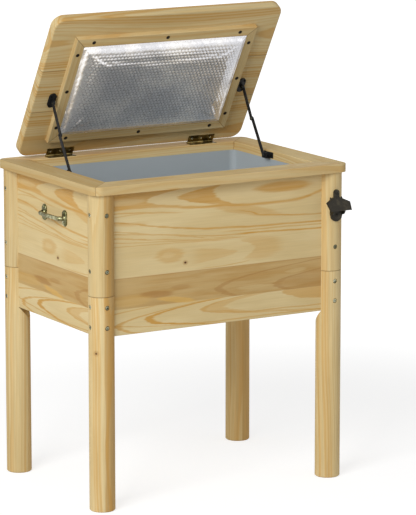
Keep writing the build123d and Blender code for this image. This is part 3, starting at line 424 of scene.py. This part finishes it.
def panel_pine(name, long, shift):
    """The figured pine of one panel. The figure slides along by shift, so that panels differ."""
    p = Paint(name)
    along = p.along(long) + shift
    height = p.along(Z)
    across = p.along(Vector(long).cross(Z))
    slow = p.grain(along * 9.0, height * 22.0, across * 20.0) - 0.5
    quick = p.grain(along * 26.0, height * 110.0, across * 90.0 + 4.0) - 0.5
    ragged = p.grain(along * 8.0, height * 210.0, across * 150.0 + 2.0, *FINE) - 0.5
    u = along * MILLIMETRES + slow * 16.0 + quick * 8.0 + ragged * 34.0
    v = height * MILLIMETRES + slow * 5.0 + quick * 2.2 + ragged * 1.5

    def course(points):
        """The height of a grain line that runs through the points."""
        made = p.tree.nodes.new("ShaderNodeFloatCurve")
        curve = made.mapping.curves[0]
        for k, (x, y) in enumerate(points):
            spot = ((x + FIGURE_END) / (2 * FIGURE_END), (y - FIGURE_LOW) / FIGURE_RISE)
            if k < 2:
                curve.points[k].location = spot
            else:
                curve.points.new(*spot)
        made.mapping.extend = "HORIZONTAL"
        made.mapping.update()
        p.put(made.inputs["Value"], (u + FIGURE_END) / (2 * FIGURE_END))
        return Field(p, made.outputs[0]) * FIGURE_RISE + FIGURE_LOW

    def arch(tip_u, tip_v, curve, way=1):
        """How far a point lies behind the tip of a rounded arch, along the board."""
        rise = v - tip_v
        return (u - tip_u) * way - rise * rise / curve

    def spot(middle_u, middle_v, length, rise, slope=0.0):
        """A soft oval, from 0 to 1."""
        du = (u - middle_u) / length
        dv = (v - middle_v - (u - middle_u) * slope) / rise
        return p.smooth(p.root(du * du + dv * dv), 1.15, 0.7)

    upper = p.smooth(height, UPPER_JOINT - STAVE_BLUR, UPPER_JOINT + STAVE_BLUR)
    lower = p.smooth(height, LOWER_JOINT + STAVE_BLUR, LOWER_JOINT - STAVE_BLUR)
    middle = 1.0 - p.math("MAXIMUM", upper, lower)
    arch_staves = {AMBER: lower, RUST: middle}
    spot_staves = {RUST: middle, GOLD: 1.0 - upper, PALE: middle, AMBER: upper}
    streak = fibres(p, along, height, across)
    cloud = p.grain(along * 4.0, height * 24.0, across * 20.0 + 9.0, 3.0)
    colour = p.mix(p.smooth(cloud, *CLOUDS), PALE, CREAM)
    heart = p.smooth(p.grain(along * 5.0, height * 60.0, 7.0, 3.0), *CLOUDS)
    colour = p.mix(middle * (0.62 + 0.36 * heart), colour, BROWN)

    # Nested arches under the rim, above the broad line
    broad = course(BROAD_LINE)
    crown = p.smooth(v - broad, -2.0, 3.0)
    level = CROWN_LEVEL - 0.38 * spot(*CROWN_PALE)
    for depth, *tip in CROWN_ARCHES:
        level = p.mix_value(p.smooth(arch(*tip), -5.0, 6.0), level, depth)
    level = p.mix_value(spot(*CROWN_DARK), level, CROWN_LEVEL)
    edge = p.smooth(p.math("ABSOLUTE", v - broad), 5.5, 1.0, 0.0, 0.80)
    amber = p.math("MAXIMUM", crown * level, edge)

    # Fine lines, and the lobe and oval in the pale part of the board
    for strength, half, start, end, points in FINE_LINES:
        gap = p.math("ABSOLUTE", v - course(points))
        line = p.smooth(gap, half * 1.5, half * 0.3, 0.0, strength * 1.3)
        if start > -FIGURE_END:
            line = line * p.smooth(u, start - 20.0, start + 40.0)
        if end < FIGURE_END:
            line = line * p.smooth(u, end + 10.0, end - 60.0)
        amber = p.math("MAXIMUM", amber, line)
    lobe = spot(*LOBE) * 0.36
    lobe = p.mix_value(p.smooth(arch(*LOBE_MOUTH, -1), -4.0, 6.0), lobe, 0.03)
    tail = p.smooth(arch(*LOBE_TAIL, -1), -4.0, 6.0) * p.smooth(u, -90.0, -40.0)
    lobe = p.mix_value(tail, lobe, 0.32)
    oval = spot(*OVAL) * 0.46 - spot(*OVAL_EYE) * 0.16
    lobe = p.math("MAXIMUM", lobe, oval) * p.smooth(v, 566.0, 576.0)
    amber = p.math("MAXIMUM", amber, lobe)
    patches = p.grain(along * 9.0, height * 150.0, 3.0, *FINE)
    amber = amber * p.ramp(patches, 0.3, 0.7, 0.72, 1.12)
    colour = p.mix(amber, colour, AMBER)

    # Arches and spots of the two lower staves
    for tint, strength, tip_u, tip_v, curve, start, end in ARCHES:
        behind = arch(tip_u, tip_v, curve)
        band = p.smooth(behind, start - 4.0, start + 4.0, 0.0, strength)
        if end < FIGURE_END:
            band = band * p.smooth(behind, end + 8.0, end - 4.0)
        colour = p.mix(band * arch_staves[tint], colour, tint)
    for tint, strength, *place in SPOTS:
        colour = p.mix(spot(*place) * strength * spot_staves[tint], colour, tint)

    # A small knot, the staves' joint and the finest grain
    du = along - PANEL_KNOT[0]
    dv = height - PANEL_KNOT[1]
    spread = p.root(du * du * 0.6 + dv * dv) + quick * 0.001
    colour = p.mix(p.smooth(spread, *PANEL_HALO_EDGE, 0.0, 0.5), colour, RUST)
    colour = p.mix(p.smooth(spread, *PANEL_KNOT_EDGE), colour, KNOT)
    joint = p.smooth(p.math("ABSOLUTE", height - UPPER_JOINT), *PANEL_JOINT_EDGE, 0.0, 0.5)
    colour = p.mix(joint, colour, RUST)
    finest = p.grain(along * 7.0, v * 0.36, across * 200.0, *FINE)
    light = 1.0 + (streak - 0.5) * 0.12 + (finest - 0.5) * 0.16 - middle * 0.02
    return varnish(p, p.shade(colour, light), streak, amber)


def paint(material, *nodes):
    """Gives nodes one material."""
    for node in nodes:
        mesh = NODES[node].data
        mesh.materials.clear()
        mesh.materials.append(material)


def lid_box(node):
    """A node's smallest and largest place in the lid's axes: across, away from the hinge, out of its face."""
    points = np.array([vert.co for vert in NODES[node].data.vertices]) - np.array(LID_ORIGIN)
    local = np.stack([points @ np.array(axis) for axis in (X, LID_LONG, LID_FACE)], axis=1)
    return local.min(0), local.max(0)


def screw_places(node):
    """For each screw of a group: the middle of its head's top, the way it faces, head radius and length."""
    bm = bmesh.new()
    bm.from_mesh(NODES[node].data)
    bmesh.ops.remove_doubles(bm, verts=bm.verts, dist=1e-6)
    left = set(bm.verts)
    places = []
    while left:
        group = [left.pop()]
        for vert in group:
            for edge in vert.link_edges:
                other = edge.other_vert(vert)
                if other in left:
                    left.remove(other)
                    group.append(other)
        points = np.array([v.co for v in group])
        middle = points.mean(0)
        axis = np.linalg.svd(points - middle)[2][0]
        reach = (points - middle) @ axis
        off = np.linalg.norm(points - middle - np.outer(reach, axis), axis=1)
        if reach[off.argmax()] < 0:
            axis = -axis
            reach = -reach
        places.append((middle + axis * reach.max(), axis, off.max(), reach.max() - reach.min()))
    bm.free()
    return sorted(places, key=lambda place: tuple(np.round(place[0], 4)))


def meeting(mitres, side):
    """The mitres at the two ends of one side."""
    return [mitre for corner, mitre in mitres.items() if side in corner.split("_")]


# Panels, and the rim's boards with their mitres
paint(panel_pine("pine_front_panel", X, 0.0), "front_panel")
paint(panel_pine("pine_left_panel", -Y, -0.118), "left_panel")
paint(panel_pine("pine_right_panel", Y, 0.10), "right_panel")
paint(panel_pine("pine_back_panel", X, 0.0), "back_panel")
RIM_MITRE = (RIM_HALF_X - RIM_HALF_Y) / math.sqrt(2)
RIM_MITRE_DARK = 0.6
rim_mitres = {corner: ((sx, -sy, 0), RIM_MITRE, RIM_MITRE_DARK) for corner, (sx, sy) in CORNERS.items()}
RIMS = (  # side, length, width, middle, seed, shade, gloss
    ("front", X, Y, (0, -RIM_BOARD_Y, RIM_BOARD_Z), 3.1, 1.0, GLOSS),
    ("back", X, Y, (0, RIM_BOARD_Y, RIM_BOARD_Z), 6.2, 1.0, GLOSS),
    # The left and right boards are painted darker, 0.92, as painted shade
    ("left", Y, X, (-RIM_BOARD_X, 0, RIM_BOARD_Z), 5.3, 0.92, 0.04),
    ("right", Y, X, (RIM_BOARD_X, 0, RIM_BOARD_Z), 10.6, 0.92, 0.04),
)
for side, long, across, middle, seed, shade, gloss in RIMS:
    wood = pine(
        f"pine_rim_{side}",
        long,
        across,
        middle,
        seed=seed,
        late_share=0.6,
        shade=shade,
        seams=meeting(rim_mitres, side),
        gloss=gloss,
    )
    paint(wood, f"rim_{side}")

# Legs: each piece has its own seed and its own turn of the log, and some carry painted shade or painted light
LEG_JOINT_DARK = 0.55
LEG_SEAM = (Z, LEG_JOINT, LEG_JOINT_DARK)
# Painted shade on the left posts, which face the lamp; painted light on the right-hand pieces, which face
# away from it
LEG_PAINTED_SHADING = {
    ("upper_post", "front_left"): 0.85,
    ("upper_post", "back_left"): 0.82,
    ("upper_post", "front_right"): 1.05,
    ("lower_leg", "front_right"): 1.12,
    ("lower_leg", "back_right"): 1.2,
}
LEG_HEARTS = {"front_left": ((0.861, -0.509, 0), 0.009), "back_right": ((0.861, -0.509, 0), 0.012)}
LEG_KNOTS = {("lower_leg", "front_left"): [(-0.3486, -0.2385, 0.394)]}
for seed, (corner, (sx, sy)) in enumerate(CORNERS.items(), 1):
    for step, piece in enumerate(("upper_post", "lower_leg")):
        turn = math.radians(40 + 95 * seed + 110 * step)
        wood = pine(
            f"pine_{piece}_{corner}",
            Z,
            (math.cos(turn), math.sin(turn), 0),
            (sx * LEG_X, sy * LEG_Y, 0),
            seed=seed * 2.3 + step * 4.1,
            late_share=0.58,
            drift=0.7,
            shade=LEG_PAINTED_SHADING.get((piece, corner), 1.0),
            seams=[LEG_SEAM],
            heart=LEG_HEARTS.get(corner),
            knots=LEG_KNOTS.get((piece, corner), ()),
            fleck=0.34,
        )
        paint(wood, f"{piece}_{corner}")

# The lid's board of three staves, painted darker all over by 0.88 as painted shade
LID_JOINT_DARK = 0.75
lid_base = LID_ORIGIN + LID_LONG * LID_START
lid_rows = [LID_LONG.dot(lid_base) + LID_STAVE * k for k in range(1, LID_STAVES)]
lid_joints = [(LID_LONG, row, LID_JOINT_DARK) for row in lid_rows]
lid_wood = pine(
    "pine_lid",
    X,
    LID_LONG,
    lid_base,
    LID_STAVE,
    LID_STAVES,
    seed=5.1,
    late_share=0.8,
    shade=0.88,
    seams=lid_joints,
)
paint(lid_wood, "lid_panel")

# The strips under the lid meet in mitres, and round their screws the wood is painted dark as painted shade in
# the screw holes
strips_low = (lid_box("lid_strip_left")[0][0], lid_box("lid_strip_front")[0][1])
strips_high = (lid_box("lid_strip_right")[1][0], lid_box("lid_strip_back")[1][1])
lid_mitres = {}
for corner, (sx, sy) in CORNERS.items():
    tip_x = strips_high[0] if sx > 0 else strips_low[0]
    tip_long = strips_high[1] if sy > 0 else strips_low[1]
    normal = (X * sx - LID_LONG * sy).normalized()
    tip = LID_ORIGIN + X * tip_x + LID_LONG * tip_long
    lid_mitres[corner] = (normal, normal.dot(tip), LID_JOINT_DARK)
hole_shades = [place[0] for place in screw_places("lid_strip_screws")]
STRIPS = (  # side, length, width, seed, shade
    # Each strip is painted darker as painted shade, most of all the front strip by the hinge, as in shadow
    ("front", X, LID_LONG, 6.1, 0.80),
    ("back", X, LID_LONG, 12.2, 0.92),
    ("left", LID_LONG, X, 7.7, 0.84),
    ("right", LID_LONG, X, 15.4, 0.84),
)
for side, long, across, seed, shade in STRIPS:
    wood = pine(
        f"pine_strip_{side}",
        long,
        across,
        LID_ORIGIN,
        seed=seed,
        ring=0.01,
        late_share=0.5,
        shade=shade,
        seams=meeting(lid_mitres, side),
        hole_shades=hole_shades,
    )
    paint(wood, f"lid_strip_{side}")
paint(pine("ply_floor", X, Y, stave=FLOOR_STAVE, seed=9.0, ring=0.02, late_share=0.5), "bottom_panel")


# Plastic, foam, steel, brass and iron
CLOUD_SCALE = 6.0
BLOTCH_SCALE = 55.0
GRIT_SCALE = 700.0


def moulded(name, colour, rough, grain):
    """Moulded plastic or foam with a fine texture and faint clouds."""
    p = Paint(name)
    speck = p.noise(p.place, grain, *FINE)
    light = 0.96 + 0.06 * p.noise(p.place, CLOUD_SCALE) + 0.04 * speck
    return p.finish(
        Base_Color=p.shade(colour, light),
        Roughness=rough + 0.08 * speck,
        Normal=p.bump(speck, 0.0002, 0.3),
    )


def metal(name, bright, dark, rough, wear, metallic=1.0, cast=0.0001, gloss=0.5):
    """Metal with a mottled finish: dark where it is tarnished or painted, bright where it is worn."""
    p = Paint(name)
    blotch = p.noise(p.place, BLOTCH_SCALE, 3.0)
    grit = p.noise(p.place, GRIT_SCALE, *FINE)
    share = p.smooth(blotch + (grit - 0.5) * 0.12, 0.62 - wear, 0.86 - wear)
    return p.finish(
        Base_Color=p.mix(share, dark, bright),
        Metallic=metallic,
        Roughness=rough + 0.10 * (1.0 - share) + 0.05 * grit,
        Specular_IOR_Level=gloss,
        Normal=p.bump(grit, cast, 0.25),
    )


foam = moulded("foam_board", rgb(226, 226, 220), 0.8, 350.0)
brass = metal("antique_brass", rgb(190, 188, 150), rgb(100, 98, 66), 0.22, 0.2)
dark_brass = metal("dark_bronze", rgb(164, 144, 92), rgb(92, 78, 44), 0.28, 0.2)
steel = metal("black_enamel", rgb(40, 40, 41), rgb(20, 20, 21), 0.42, 0.1, 0.0, gloss=0.3)
screw_steel = metal("screw_steel", rgb(150, 152, 140), rgb(74, 76, 66), 0.26, 0.2)
iron = metal("cast_iron", rgb(66, 60, 46), rgb(42, 38, 29), 0.4, 0.16, 0.0, 0.0002, 0.25)
paint(moulded("liner_plastic", rgb(172, 180, 184), 0.36, 700.0), "tub_liner")
paint(moulded("drain_plastic", rgb(70, 72, 74), 0.4, 900.0), "drain_pipe", "drain_nut", "drain_cap")
paint(foam, "foam_front_back", "foam_ends", "foam_floor", "lid_foam")
paint(brass, "handle_left", "handle_right")
paint(iron, "bottle_opener")
paint(dark_brass, "hinge_pins")
paint(screw_steel, "stay_rim_rivets")
for side in ("left", "right"):
    paint(dark_brass, f"hinge_rim_leaf_{side}", f"hinge_lid_leaf_{side}")
    paint(steel, f"stay_upper_link_{side}", f"stay_lower_link_{side}")
    paint(steel, f"stay_lid_shoe_{side}", f"stay_rim_channel_{side}")
    paint(screw_steel, f"stay_rivets_{side}")


# Screws: domed heads with a driver recess, on the CAD screws' places
SCREW_SIDES = 24
SCREW_TWIST = 0.7
SCREW_SHARP = math.radians(42)
CROSS_BAR = 0.26
RECESS_TAPER = 0.94


def ring_points(bm, frame_matrix, points):
    return [bm.verts.new(frame_matrix @ Vector(point)) for point in points]


def bridge(bm, first, second):
    """Joins two rings of points by a band of faces."""
    for i in range(len(first)):
        j = (i + 1) % len(first)
        bm.faces.new((first[i], first[j], second[j], second[i]))


def recess_outline(kind, size):
    """The outline of a driver recess: a cross or a hexagon."""
    points = []
    for i in range(SCREW_SIDES):
        a = math.tau * i / SCREW_SIDES
        if kind == "hex":
            reach = size * math.cos(math.pi / 6) / math.cos((a % (math.pi / 3)) - math.pi / 6)
        else:
            slant = max(abs(math.cos(a)), abs(math.sin(a)))
            thin = min(abs(math.cos(a)), abs(math.sin(a)))
            reach = min(size / slant, size * CROSS_BAR / max(thin, 1e-6))
            reach = max(reach, size * CROSS_BAR * math.sqrt(2))
        points.append((math.cos(a) * reach, math.sin(a) * reach))
    return points


def screws(name, node, body, material, kind, dome, recess=0.52):
    """Replaces a group of CAD screws by heads with a rounded top, a recess and a shank."""
    angles = [math.tau * i / SCREW_SIDES for i in range(SCREW_SIDES)]
    circle = [(math.cos(a), math.sin(a)) for a in angles]
    bm = bmesh.new()
    for number, (top, axis, radius, length) in enumerate(screw_places(node)):
        turn = Matrix.Rotation(SCREW_TWIST * number, 4, "Z")
        stand = Vector(axis).to_track_quat("Z", "Y").to_matrix().to_4x4()
        place = Matrix.Translation(Vector(top)) @ stand @ turn
        drop = radius * dome
        deep = max(0.9 * drop, radius * 0.3)
        profile = (  # share of the head's radius, depth below its top
            (0.08, length),
            (0.5, length * 0.8),
            (0.5, deep + drop),
            (1.0, deep + drop),
            (1.0, 1.1 * drop),
            (0.95, 0.5 * drop),
            ((1.0 + recess) / 2, 0.1 * drop),
        )
        rings = []
        for share, fall in profile:
            points = [(x * radius * share, y * radius * share, -fall) for x, y in circle]
            rings.append(ring_points(bm, place, points))
        lip = recess_outline(kind, radius * recess)
        rings.append(ring_points(bm, place, [(x, y, 0) for x, y in lip]))
        rings.append(ring_points(bm, place, [(x * RECESS_TAPER, y * RECESS_TAPER, -deep) for x, y in lip]))
        for a, b in zip(rings, rings[1:]):
            bridge(bm, a, b)
        bm.faces.new(list(reversed(rings[0])))
        bm.faces.new(rings[-1])
    bmesh.ops.recalc_face_normals(bm, faces=bm.faces)
    mesh = bpy.data.meshes.new(name)
    bm.to_mesh(mesh)
    bm.free()
    mesh.shade_smooth()
    mesh.set_sharp_from_angle(angle=SCREW_SHARP)
    mesh.materials.append(material)
    obj = bpy.data.objects.new(name, mesh)
    bpy.context.collection.objects.link(obj)
    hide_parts(node)
    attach(obj, body)


dark_screw = metal("dark_screw", rgb(176, 176, 152), rgb(112, 112, 90), 0.2, 0.22)
black_screw = metal("black_screw", rgb(34, 28, 22), rgb(14, 12, 10), 0.5, 0.1, 0.0, gloss=0.15)
bright_screw = metal("bright_screw", rgb(232, 230, 216), rgb(176, 170, 146), 0.2, 0.3)
screws("post_bolts", "post_screws", "cabinet", dark_screw, "hex", 0.5, 0.4)
screws("strip_screw_heads", "lid_strip_screws", "lid", black_screw, "cross", 0.3)
screws("lid_hinge_screw_heads", "lid_hinge_screws", "lid", bright_screw, "cross", 0.3)
screws("rim_hinge_screw_heads", "rim_hinge_screws", "cabinet", bright_screw, "cross", 0.3)
screws("stay_lid_screw_heads", "stay_lid_screws", "lid", black_screw, "cross", 0.3)
screws("stay_rim_screw_heads", "stay_rim_screws", "cabinet", black_screw, "cross", 0.3)
screws("handle_screw_heads", "handle_screws", "cabinet", brass, "cross", 0.45)
screws("opener_screw_heads", "opener_screws", "cabinet", iron, "cross", 0.4)


# Foil pad: a bubble foil cushion, blown up by a short cloth simulation, in the lid's frame of strips
PAD_LOW, PAD_HIGH = lid_box("foil_pad")
PAD_EDGE = 0.005
PAD_FOLDS = (0.0, 0.011, 0.034)
PAD_RISES = (0.0, 0.0095, 0.0142)
PAD_CROWN, PAD_CROWN_REACH = 0.0008, 0.136
PAD_ROUND = 2.5
PAD_STEP = 0.0045
PAD_FINER = 3
PAD_SWELL = 0.0016
PAD_SHARP = math.radians(60)
CLOTH_STEPS = 20
SLACK_RISE = 0.0006
PUCKER_RISE, PUCKER_REACH = 0.0004, 0.03
BUBBLE = 0.0098
BUBBLE_ROW = BUBBLE * math.sqrt(3)
BUBBLE_SHIFTS = ((0, 0), (0.5 * BUBBLE, 0.5 * BUBBLE_ROW))
BUBBLE_RISE = 0.0011
BUBBLE_REACH = 0.55 * BUBBLE
BUBBLE_START, BUBBLE_FADE, BUBBLE_LEAST = 0.010, 0.02, 0.12
EDGE_FADE = 0.008
# The painted shade in the grooves between bubbles: its edges, its fade from the pad's rim and how dark it is
GROOVE_EDGE = (0.34 * BUBBLE, 0.56 * BUBBLE)
GROOVE_FADE = (0.012, 0.032)
GROOVE_SHADE = (0.1, 0.5)
CREASE_SCALE, GRAIN_SCALE, BLOOM_SCALE = 150.0, 420.0, 9.0
FOIL_DEPTH, FOIL_STRENGTH = 0.0009, 0.32
TINY = 1e-9


def pad_insets(x, y):
    """How far points lie inside the pad's edges, along each of its two lengths."""
    return np.minimum(x - PAD_LOW[0], PAD_HIGH[0] - x), np.minimum(y - PAD_LOW[1], PAD_HIGH[1] - y)


def pad_sheet():
    """The pad's front as a grid in the lid's axes: a steep slope, a gentle one and a nearly flat face."""
    lines = []
    for low, high in zip(PAD_LOW[:2], PAD_HIGH[:2]):
        lines.append(np.linspace(low, high, round((high - low) / PAD_STEP) + 1))
    x, y = np.meshgrid(*lines, indexing="ij")
    in_x, in_y = pad_insets(x, y)
    both = np.maximum(in_x, TINY) ** -PAD_ROUND + np.maximum(in_y, TINY) ** -PAD_ROUND
    inside = both ** (-1 / PAD_ROUND)
    rise = np.interp(inside, PAD_FOLDS, PAD_RISES) + PAD_CROWN * np.clip(inside / PAD_CROWN_REACH, 0, 1)
    return np.stack([x, y, PAD_LOW[2] + PAD_EDGE + rise], axis=2)


def grid_faces(nx, ny):
    """The faces of a sheet of nx by ny points."""
    corners = [i * ny + j for i in range(nx - 1) for j in range(ny - 1)]
    return [(a, a + ny, a + ny + 1, a + 1) for a in corners]


def blow_up(grid):
    """Lets the sheet swell under a little air, held along its edges, and keeps each point near its start."""
    nx, ny = grid.shape[:2]
    mesh = bpy.data.meshes.new("pad_cloth")
    mesh.from_pydata(grid.reshape(-1, 3).tolist(), [], grid_faces(nx, ny))
    obj = bpy.data.objects.new("pad_cloth", mesh)
    bpy.context.collection.objects.link(obj)
    held = obj.vertex_groups.new(name="held")
    edge = [i * ny + j for i in range(nx) for j in range(ny) if i in (0, nx - 1) or j in (0, ny - 1)]
    held.add(edge, 1.0, "REPLACE")
    cloth = obj.modifiers.new("cloth", "CLOTH")
    cloth.settings.vertex_group_mass = "held"
    cloth.settings.mass = 0.25
    cloth.settings.quality = 6
    cloth.settings.tension_stiffness = 12
    cloth.settings.compression_stiffness = 6
    cloth.settings.bending_stiffness = 0.15
    cloth.settings.use_pressure = True
    cloth.settings.uniform_pressure_force = 3.0
    cloth.settings.effector_weights.gravity = 0
    scene = bpy.context.scene
    for step in range(1, CLOTH_STEPS + 1):
        scene.frame_set(step)
    shape = obj.evaluated_get(bpy.context.evaluated_depsgraph_get()).to_mesh()
    points = np.array([v.co for v in shape.vertices]).reshape(grid.shape)
    scene.frame_set(1)
    bpy.data.objects.remove(obj)
    move = points - grid
    size = np.linalg.norm(move, axis=2, keepdims=True)
    return grid + move * np.minimum(1, PAD_SWELL / np.maximum(size, TINY))


def finer(grid, times):
    """The same sheet on a finer grid, by cubic curves through its points."""
    for axis in (0, 1):
        rows = np.moveaxis(grid, axis, 0)
        padded = np.concatenate([2 * rows[:1] - rows[1:2], rows, 2 * rows[-1:] - rows[-2:-1]])
        made = []
        for i in range(len(rows) - 1):
            a, b, c, d = padded[i : i + 4]
            for k in range(times):
                t = k / times
                bend = 2 * a - 5 * b + 4 * c - d
                turn = 3 * b - a - 3 * c + d
                made.append(0.5 * (2 * b + (c - a) * t + bend * t**2 + turn * t**3))
        made.append(rows[-1])
        grid = np.moveaxis(np.array(made), 0, axis)
    return grid


def bubbles(x, y):
    """The rise of rows of small round bubbles, set as in a honeycomb, from 0 to 1."""
    best = np.full(x.shape, np.inf)
    for off_x, off_y in BUBBLE_SHIFTS:
        dx = (x - off_x + 0.5 * BUBBLE) % BUBBLE - 0.5 * BUBBLE
        dy = (y - off_y + 0.5 * BUBBLE_ROW) % BUBBLE_ROW - 0.5 * BUBBLE_ROW
        best = np.minimum(best, np.hypot(dx, dy))
    return np.clip(1 - (best / BUBBLE_REACH) ** 2, 0, 1) ** 0.8


def foil_pad():
    """The cushion: a face with bubbles, slack and puckers, side walls and a flat back."""
    grid = pad_sheet()
    grid = blow_up(grid)
    grid = finer(grid, PAD_FINER)
    x, y, z = grid[..., 0], grid[..., 1], grid[..., 2]
    edge = np.minimum(*pad_insets(x, y))
    slack = SLACK_RISE * np.sin(x * 41 + 3 * np.sin(y * 23)) * np.sin(y * 57 + 2 * np.sin(x * 19 + 1))
    pucker = np.sin(x * 260 + 2 * np.sin(y * 90)) * np.sin(y * 240 + 2 * np.sin(x * 70))
    pucker = PUCKER_RISE * np.clip(1 - edge / PUCKER_REACH, 0, 1) * pucker
    face = np.clip((edge - BUBBLE_START) / BUBBLE_FADE, BUBBLE_LEAST, 1)
    z = z + np.clip(edge / EDGE_FADE, 0, 1) * (face * BUBBLE_RISE * bubbles(x, y) + slack + pucker)
    nx, ny = z.shape
    axes = np.array([X, LID_LONG, LID_FACE])
    front = np.stack([x, y, z], axis=2).reshape(-1, 3)
    border = [i * ny for i in range(nx)] + [(nx - 1) * ny + j for j in range(1, ny)]
    border += [i * ny + ny - 1 for i in range(nx - 2, -1, -1)] + list(range(ny - 2, 0, -1))
    back = front[border]
    back[:, 2] = PAD_LOW[2]
    points = np.array(LID_ORIGIN) + np.concatenate([front, back]) @ axes
    faces = grid_faces(nx, ny)
    start = nx * ny
    count = len(border)
    for k in range(count):
        m = (k + 1) % count
        faces.append((border[k], start + k, start + m, border[m]))
    faces.append([start + k for k in range(count)])
    mesh = bpy.data.meshes.new("foil_cushion")
    mesh.from_pydata(points.tolist(), [], faces)
    bm = bmesh.new()
    bm.from_mesh(mesh)
    bmesh.ops.recalc_face_normals(bm, faces=bm.faces)
    bm.to_mesh(mesh)
    bm.free()
    mesh.shade_smooth()
    mesh.set_sharp_from_angle(angle=PAD_SHARP)
    obj = bpy.data.objects.new("foil_cushion", mesh)
    bpy.context.collection.objects.link(obj)
    return obj


def foil():
    """Silver foil with crinkles, a faint bloom and painted shade in the grooves between the bubbles."""
    p = Paint("silver_foil")
    crease = p.noise(p.place, CREASE_SCALE, 4.0, 0.6, 0.6)
    grain = p.noise(p.place, GRAIN_SCALE)
    bloom = p.noise(p.place, BLOOM_SCALE, 3.0)
    colour = p.mix(p.smooth(bloom, *CLOUDS), rgb(236, 236, 240), rgb(246, 243, 240))
    u = p.along(X, LID_ORIGIN)
    v = p.along(LID_LONG, LID_ORIGIN)
    reaches = []
    for off_u, off_v in BUBBLE_SHIFTS:
        du = (p.fract((u - off_u) / BUBBLE + 0.5) - 0.5) * BUBBLE
        dv = (p.fract((v - off_v) / BUBBLE_ROW + 0.5) - 0.5) * BUBBLE_ROW
        reaches.append(p.root(du * du + dv * dv))
    gap_u = p.math("MINIMUM", u - float(PAD_LOW[0]), float(PAD_HIGH[0]) - u)
    gap_v = p.math("MINIMUM", v - float(PAD_LOW[1]), float(PAD_HIGH[1]) - v)
    # Painted shade in the grooves between the bubbles, less of it near the pad's edges
    face = p.smooth(p.math("MINIMUM", gap_u, gap_v), *GROOVE_FADE, *GROOVE_SHADE)
    groove_shade = p.smooth(p.math("MINIMUM", *reaches), *GROOVE_EDGE) * face
    light = (0.80 + 0.20 * grain + 0.24 * p.smooth(bloom, 0.35, 0.65)) * (1.0 - groove_shade)
    return p.finish(
        Base_Color=p.shade(colour, light),
        Metallic=0.72,
        Roughness=0.22 + 0.14 * crease,
        Normal=p.bump(crease + grain * 0.5, FOIL_DEPTH, FOIL_STRENGTH),
    )


cushion = foil_pad()
cushion.data.materials.append(foil())
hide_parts("foil_pad")
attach(cushion, "lid")

# Studio: a white floor that fades into a white surround, a broad lamp at the left, a weak one at the right
WHITE = (1, 1, 1, 1)
FLOOR_REACH = 30
FLOOR_FADE = (2.6, 0.9)
FLOOR_DIM = 0.26
FLOOR_MIRRORED = 0.6
FLOOR_BOUNCE = (0.8, 0.8, 0.8, 1)
FLOOR_SEEN = (0.4, 0.4, 0.4, 1)
SKY_LIGHT = 0.36
SKY_SEEN = 1.0
floor_mesh = bpy.data.meshes.new("floor")
floor_corners = [(x * FLOOR_REACH, y * FLOOR_REACH, 0) for x, y in ((-1, -1), (1, -1), (1, 1), (-1, 1))]
floor_mesh.from_pydata(floor_corners, [], [(0, 1, 2, 3)])
floor = bpy.data.objects.new("floor", floor_mesh)
bpy.context.collection.objects.link(floor)
white = Paint("floor_white")
seen = white.node("ShaderNodeLightPath", "Is Camera Ray")
mirrored = white.node("ShaderNodeLightPath", "Is Glossy Ray")
passed = white.node("ShaderNodeLightPath", "Is Transmission Ray")
shown = white.math("MAXIMUM", white.math("MAXIMUM", seen, mirrored * FLOOR_MIRRORED), passed)
near = white.smooth(white.measure("LENGTH"), *FLOOR_FADE)
matt = white.node("ShaderNodeBsdfDiffuse", 0, {"Color": white.mix(seen, FLOOR_BOUNCE, FLOOR_SEEN)})
strength = shown * (1.0 - FLOOR_DIM * near)
glow = white.node("ShaderNodeEmission", 0, {"Color": WHITE, "Strength": strength})
both = white.node("ShaderNodeAddShader", 0, {0: matt, 1: glow})
white.tree.links.new(both.socket, white.tree.nodes.new("ShaderNodeOutputMaterial").inputs[0])
floor_mesh.materials.append(white.material)

world = bpy.data.worlds.new("studio")
bpy.context.scene.world = world
world.use_nodes = True
sky = world.node_tree
sky.nodes.clear()
path = sky.nodes.new("ShaderNodeLightPath")
first = sky.nodes.new("ShaderNodeMath")
first.operation = "MAXIMUM"
second = sky.nodes.new("ShaderNodeMath")
second.operation = "MAXIMUM"
level = sky.nodes.new("ShaderNodeMapRange")
level.inputs["To Min"].default_value = SKY_LIGHT
level.inputs["To Max"].default_value = SKY_SEEN
sky.links.new(path.outputs["Is Camera Ray"], first.inputs[0])
sky.links.new(path.outputs["Is Glossy Ray"], first.inputs[1])
sky.links.new(first.outputs[0], second.inputs[0])
sky.links.new(path.outputs["Is Transmission Ray"], second.inputs[1])
sky.links.new(second.outputs[0], level.inputs["Value"])
back = sky.nodes.new("ShaderNodeBackground")
back.inputs["Color"].default_value = WHITE
sky.links.new(level.outputs[0], back.inputs["Strength"])
sky.links.new(back.outputs[0], sky.nodes.new("ShaderNodeOutputWorld").inputs[0])


def facing(direction):
    """The turn that makes a lamp or camera look along a direction."""
    return Vector(direction).to_track_quat("-Z", "Y").to_euler()


def lamp(name, place, aim, size, power):
    """A soft rectangular lamp that looks at a point, in watts."""
    light = bpy.data.lights.new(name, "AREA")
    light.shape = "RECTANGLE"
    light.size, light.size_y = size
    light.energy = power
    obj = bpy.data.objects.new(name, light)
    obj.location = place
    obj.rotation_euler = facing(Vector(aim) - Vector(place))
    bpy.context.collection.objects.link(obj)


lamp("key", (-3.60, -2.42, 3.0), (0, 0, 0.55), (2.4, 2.4), 160)
lamp("fill", (3.2, -3.0, 1.6), (0, 0, 0.5), (2.0, 2.0), 11)

camera = bpy.data.cameras.new("camera")
camera.sensor_width = 36
camera.lens = 228.0
camera_obj = bpy.data.objects.new("camera", camera)
camera_obj.location = (-4.0012, -6.9464, 2.1074)
camera_obj.rotation_euler = facing((0.49947, 0.84521, -0.19013))
bpy.context.collection.objects.link(camera_obj)
bpy.context.scene.camera = camera_obj
bpy.context.scene.view_settings.view_transform = "Standard"
